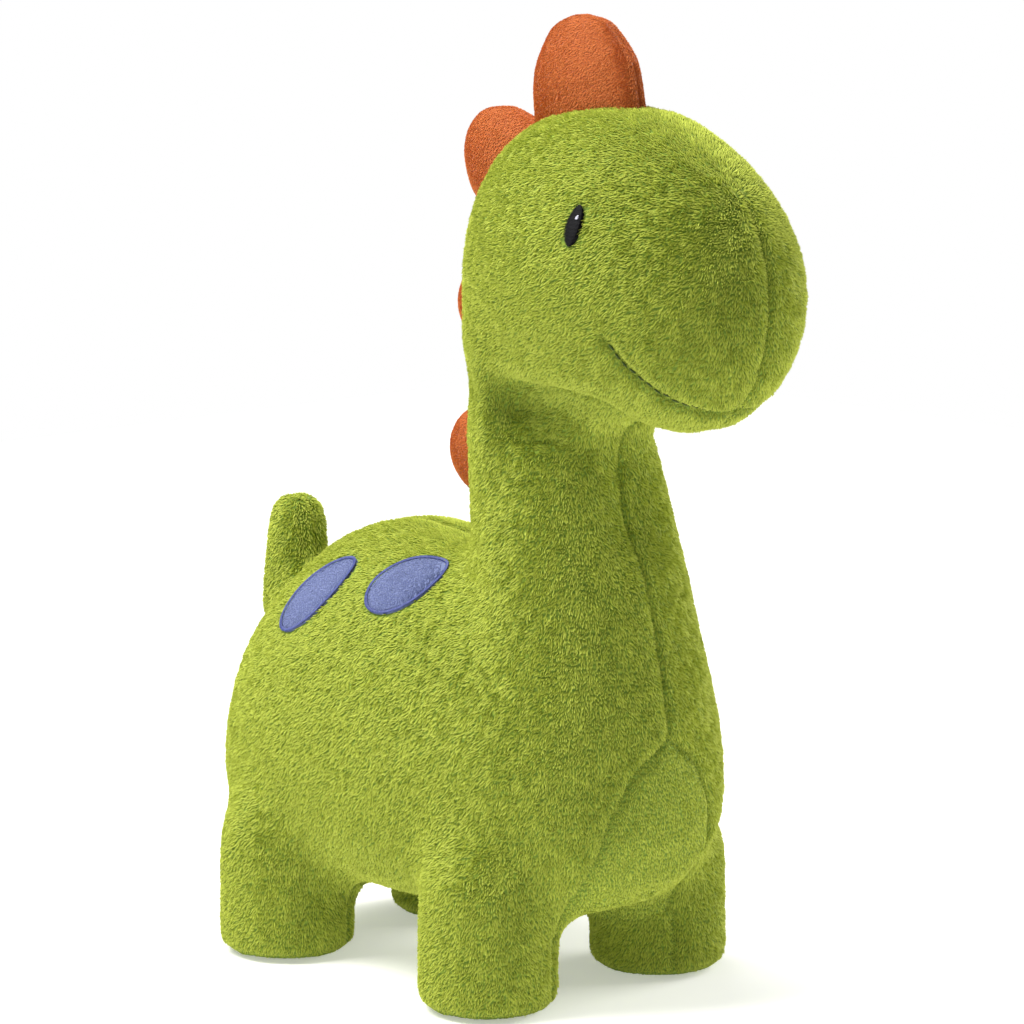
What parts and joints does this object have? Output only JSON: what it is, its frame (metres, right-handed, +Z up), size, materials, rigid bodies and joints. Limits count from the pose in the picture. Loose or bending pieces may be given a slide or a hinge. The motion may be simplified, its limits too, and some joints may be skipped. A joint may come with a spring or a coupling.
{
  "type": "stuffed dinosaur toy",
  "caption": "Standing long-necked plush dinosaur with stuffed scales down its back seam, embroidered eyes and appliqué spots; neck, head, tail and legs flex.",
  "frame": {"origin": "on the floor, midway between the right and left sides and between the nose and the rump", "axes": "+Z up; the toy faces -Y; its right side is -X"},
  "size_m": [0.131, 0.2514, 0.3312],
  "materials": {
    "green_plush": "short directional plush pile",
    "orange_velour": "short velour",
    "blue_velour": "smooth velour",
    "indigo_thread": "satin-stitched thread",
    "black_thread": "embroidery thread",
    "white_thread": "embroidery thread",
    "olive_thread": "sewing thread",
    "white_fibre": "loose polyester fibre"
  },
  "bodies": {
    "torso": {"body_side_right": "green_plush", "body_side_left": "green_plush", "belly_gusset": "green_plush", "body_filling": "white_fibre", "front_spot_right": "blue_velour", "rear_spot_right": "blue_velour", "front_spot_stitching_right": "indigo_thread", "rear_spot_stitching_right": "indigo_thread", "front_spot_left": "blue_velour", "rear_spot_left": "blue_velour", "front_spot_stitching_left": "indigo_thread", "rear_spot_stitching_left": "indigo_thread"},
    "neck": {"neck_side_right": "green_plush", "neck_side_left": "green_plush", "neck_filling": "white_fibre", "neck_scale_right_cloth": "orange_velour", "neck_scale_left_cloth": "orange_velour", "neck_scale_filling": "white_fibre"},
    "head": {"head_side_right": "green_plush", "head_side_left": "green_plush", "head_filling": "white_fibre", "eye_right": "black_thread", "eye_left": "black_thread", "eye_glint_right": "white_thread", "eye_glint_left": "white_thread", "mouth_stitching": "olive_thread", "crown_scale_right_cloth": "orange_velour", "crown_scale_left_cloth": "orange_velour", "crown_scale_filling": "white_fibre", "back_head_scale_right_cloth": "orange_velour", "back_head_scale_left_cloth": "orange_velour", "back_head_scale_filling": "white_fibre", "nape_scale_right_cloth": "orange_velour", "nape_scale_left_cloth": "orange_velour", "nape_scale_filling": "white_fibre"},
    "tail": {"tail_side_right": "green_plush", "tail_side_left": "green_plush", "tail_filling": "white_fibre"},
    "front_leg_right": {"front_leg_right_outer_panel": "green_plush", "front_leg_right_inner_panel": "green_plush", "front_leg_right_sole": "green_plush", "front_leg_right_filling": "white_fibre"},
    "hind_leg_right": {"hind_leg_right_outer_panel": "green_plush", "hind_leg_right_inner_panel": "green_plush", "hind_leg_right_sole": "green_plush", "hind_leg_right_filling": "white_fibre"},
    "front_leg_left": {"front_leg_left_outer_panel": "green_plush", "front_leg_left_inner_panel": "green_plush", "front_leg_left_sole": "green_plush", "front_leg_left_filling": "white_fibre"},
    "hind_leg_left": {"hind_leg_left_outer_panel": "green_plush", "hind_leg_left_inner_panel": "green_plush", "hind_leg_left_sole": "green_plush", "hind_leg_left_filling": "white_fibre"}
  },
  "joints": [
    {"name": "neck_bend", "type": "hinge", "parent": "torso", "child": "neck", "pos_m": [0, -0.04075, 0.101], "axis": [1, 0, 0], "range_deg": [-9, 14], "stiffness_Nm_per_rad": 0.6},
    {"name": "head_nod", "type": "hinge", "parent": "neck", "child": "head", "pos_m": [0, -0.02675, 0.192], "axis": [1, 0, 0], "range_deg": [-12, 12], "stiffness_Nm_per_rad": 0.4},
    {"name": "tail_bend", "type": "hinge", "parent": "torso", "child": "tail", "pos_m": [0, 0.11025, 0.108], "axis": [1, 0, 0], "range_deg": [-15, 15], "stiffness_Nm_per_rad": 0.05},
    {"name": "front_leg_swing_right", "type": "hinge", "parent": "torso", "child": "front_leg_right", "pos_m": [-0.04, -0.03375, 0.047], "axis": [1, 0, 0], "range_deg": [-12, 12], "stiffness_Nm_per_rad": 0.5},
    {"name": "hind_leg_swing_right", "type": "hinge", "parent": "torso", "child": "hind_leg_right", "pos_m": [-0.04, 0.07025, 0.047], "axis": [1, 0, 0], "range_deg": [-12, 12], "stiffness_Nm_per_rad": 0.5},
    {"name": "front_leg_swing_left", "type": "hinge", "parent": "torso", "child": "front_leg_left", "pos_m": [0.04, -0.03375, 0.047], "axis": [1, 0, 0], "range_deg": [-12, 12], "stiffness_Nm_per_rad": 0.5},
    {"name": "hind_leg_swing_left", "type": "hinge", "parent": "torso", "child": "hind_leg_left", "pos_m": [0.04, 0.07025, 0.047], "axis": [1, 0, 0], "range_deg": [-12, 12], "stiffness_Nm_per_rad": 0.5}
  ]
}
